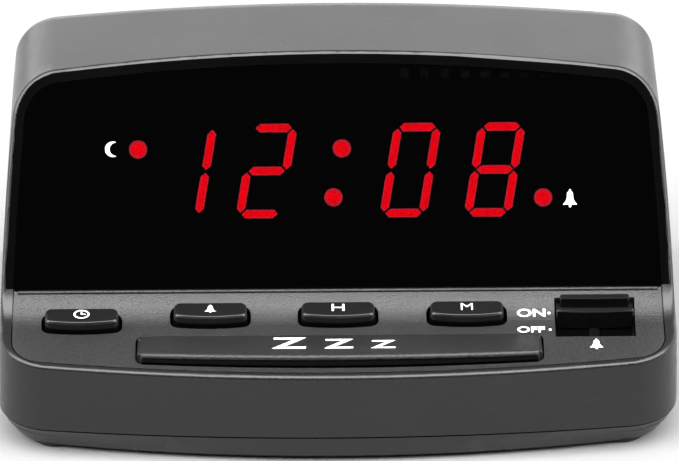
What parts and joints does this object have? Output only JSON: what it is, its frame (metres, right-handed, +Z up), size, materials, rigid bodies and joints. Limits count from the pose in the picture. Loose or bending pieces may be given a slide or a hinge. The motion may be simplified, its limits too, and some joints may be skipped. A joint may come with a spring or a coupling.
{
  "type": "digital alarm clock",
  "caption": "Mains bedside LED alarm clock with a tilted display window, key deck, snooze bar, alarm slide switch and battery door.",
  "frame": {"origin": "on the resting surface, under the middle of the whole object's box", "axes": "+X to the right as seen from the front, +Y to the rear, +Z up"},
  "size_m": [0.132, 0.08, 0.0654],
  "materials": {
    "case_plastic": "fine-grained satin black moulding",
    "deck_plastic": "fine-grained satin black moulding",
    "key_plastic": "semi-gloss black moulding",
    "window_tint": "dark tinted clear plastic",
    "lit_red": "glowing red diffuser",
    "dark_red": "unlit red diffuser",
    "module_black": "black display housing",
    "circuit_board": "green resin board",
    "steel": "zinc plated",
    "iron_core": "varnished iron sheets",
    "copper_coil": "yellow tape over copper wire",
    "tinned": "tinned metal",
    "component_black": "moulded component body",
    "capacitor_blue": "sleeved can",
    "ribbon_grey": "flat cable",
    "lead_red": "insulated lead",
    "battery_shell": "plain printed steel can",
    "foot_rubber": "soft black rubber"
  },
  "bodies": {
    "housing": {"upper_case": "case_plastic", "base_case": "case_plastic", "control_deck": "deck_plastic", "display_lens": "window_tint", "slide_switch_body": "steel", "tact_switches": "component_black", "key_board": "circuit_board", "key_board_screws": "steel", "main_board": "circuit_board", "main_board_screws": "steel", "display_housing": "module_black", "lit_segments": "lit_red", "dark_segments": "dark_red", "indicator_dots": "lit_red", "display_pins": "tinned", "clock_chip": "component_black", "smoothing_capacitor": "capacitor_blue", "rectifier_diodes": "component_black", "key_ribbon": "ribbon_grey", "buzzer": "component_black", "buzzer_leads": "lead_red", "backup_battery": "battery_shell", "battery_snap": "component_black", "battery_leads": "lead_red", "transformer_core": "iron_core", "transformer_winding": "copper_coil", "transformer_bracket": "steel", "bracket_screws": "steel", "transformer_leads": "lead_red", "cord_inlet_bush": "component_black", "case_screws": "steel", "rubber_feet": "foot_rubber"},
    "time_key": {"time_button": "key_plastic"},
    "alarm_key": {"alarm_button": "key_plastic"},
    "hour_key": {"hour_button": "key_plastic"},
    "minute_key": {"minute_button": "key_plastic"},
    "snooze_key": {"snooze_bar": "deck_plastic"},
    "alarm_switch": {"alarm_switch_knob": "key_plastic", "slide_switch_lever": "component_black"},
    "battery_cover": {"battery_door": "case_plastic"}
  },
  "joints": [
    {"name": "time_key_press", "type": "slide", "parent": "housing", "child": "time_key", "axis": [0, 0.1908, -0.9816], "range_m": [0, 0.0008], "stiffness_N_per_m": 800},
    {"name": "alarm_key_press", "type": "slide", "parent": "housing", "child": "alarm_key", "axis": [0, 0.1908, -0.9816], "range_m": [0, 0.0008], "stiffness_N_per_m": 800},
    {"name": "hour_key_press", "type": "slide", "parent": "housing", "child": "hour_key", "axis": [0, 0.1908, -0.9816], "range_m": [0, 0.0008], "stiffness_N_per_m": 800},
    {"name": "minute_key_press", "type": "slide", "parent": "housing", "child": "minute_key", "axis": [0, 0.1908, -0.9816], "range_m": [0, 0.0008], "stiffness_N_per_m": 800},
    {"name": "snooze_press", "type": "slide", "parent": "housing", "child": "snooze_key", "axis": [0, 0.1908, -0.9816], "range_m": [0, 0.0009], "stiffness_N_per_m": 1000},
    {"name": "alarm_slide", "type": "slide", "parent": "housing", "child": "alarm_switch", "axis": [0, -0.9816, -0.1908], "range_m": [0, 0.0044]},
    {"name": "battery_door_hinge", "type": "hinge", "parent": "housing", "child": "battery_cover", "pos_m": [0.00575, 0.01125, 0.0008], "axis": [0, -1, 0], "range_deg": [0, 90]}
  ]
}
